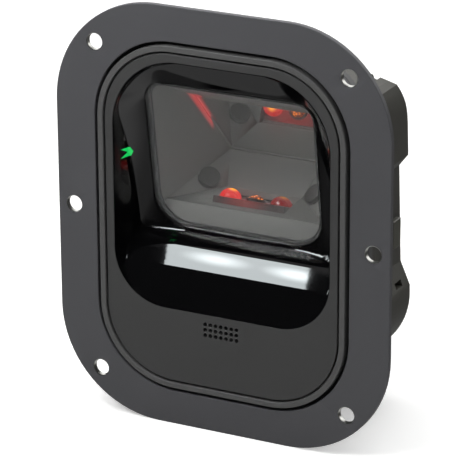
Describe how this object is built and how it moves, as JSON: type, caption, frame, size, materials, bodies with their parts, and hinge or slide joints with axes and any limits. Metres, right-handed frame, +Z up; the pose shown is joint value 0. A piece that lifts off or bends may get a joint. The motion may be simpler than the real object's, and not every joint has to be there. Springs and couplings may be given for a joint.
{
  "type": "panel mount barcode scanner",
  "caption": "Fixed barcode scanner set in a rounded mounting flange: tilted window in a gloss visor, folded light path behind it, speaker grille and rear cable socket.",
  "frame": {"origin": "centre of the flange's back face, midway between the corner screw holes", "axes": "-Y out of the front, +Z up, +X to the right seen from the front; the head reaches back along +Y"},
  "size_m": [0.122, 0.0547, 0.147],
  "materials": {
    "flange_steel": "fine-textured dark grey powder coat",
    "rubber": "matt",
    "screw_steel": "zinc plated",
    "bezel_plastic": "fine-textured dark grey",
    "cover_plastic": "fine-textured charcoal",
    "gloss_black": "high gloss black",
    "green_guide": "clear green, lit",
    "circuit_board": "green solder mask",
    "window_glass": "clear, lightly tinted",
    "foam": "matt foam",
    "chamber_plastic": "satin dark grey",
    "cap_plastic": "satin black",
    "mirror_glass": "front-surface mirror",
    "spring_steel": "plain sheet",
    "engine_plastic": "matt black",
    "chip": "matt package",
    "lens_glass": "coated lens",
    "red_lens": "clear red",
    "flex_film": "amber film",
    "mesh_cloth": "fine black cloth",
    "speaker_metal": "plain grey",
    "connector_plastic": "natural nylon",
    "housing_plastic": "fine-textured black",
    "latch_plastic": "satin dark grey"
  },
  "bodies": {
    "root": {"mounting_flange": "flange_steel", "flange_gasket": "rubber", "flange_screws": "screw_steel", "front_bezel": "bezel_plastic", "face_cover": "cover_plastic", "visor": "gloss_black", "pointer_light_left": "green_guide", "pointer_light_right": "green_guide", "pointer_board_left": "circuit_board", "pointer_board_right": "circuit_board", "scan_window": "window_glass", "window_seal": "foam", "light_chamber": "chamber_plastic", "chamber_screws": "screw_steel", "port_cap_left": "cap_plastic", "port_cap_right": "cap_plastic", "fold_mirror": "mirror_glass", "mirror_bracket": "spring_steel", "engine_chassis": "engine_plastic", "engine_board": "circuit_board", "image_sensor": "chip", "lens_barrel": "engine_plastic", "scan_lens": "lens_glass", "led_lens_left": "red_lens", "led_lens_right": "red_lens", "engine_screws": "screw_steel", "engine_flex": "flex_film", "speaker_mesh": "mesh_cloth", "speaker_gasket": "foam", "speaker": "speaker_metal", "main_board": "circuit_board", "processor": "chip", "shield_can": "spring_steel", "board_connectors": "connector_plastic", "board_screws": "screw_steel", "cable_socket": "cap_plastic", "housing_seal": "rubber", "rear_housing": "housing_plastic", "rear_screws": "screw_steel", "side_latch_left": "latch_plastic", "side_latch_right": "latch_plastic"}
  },
  "joints": []
}
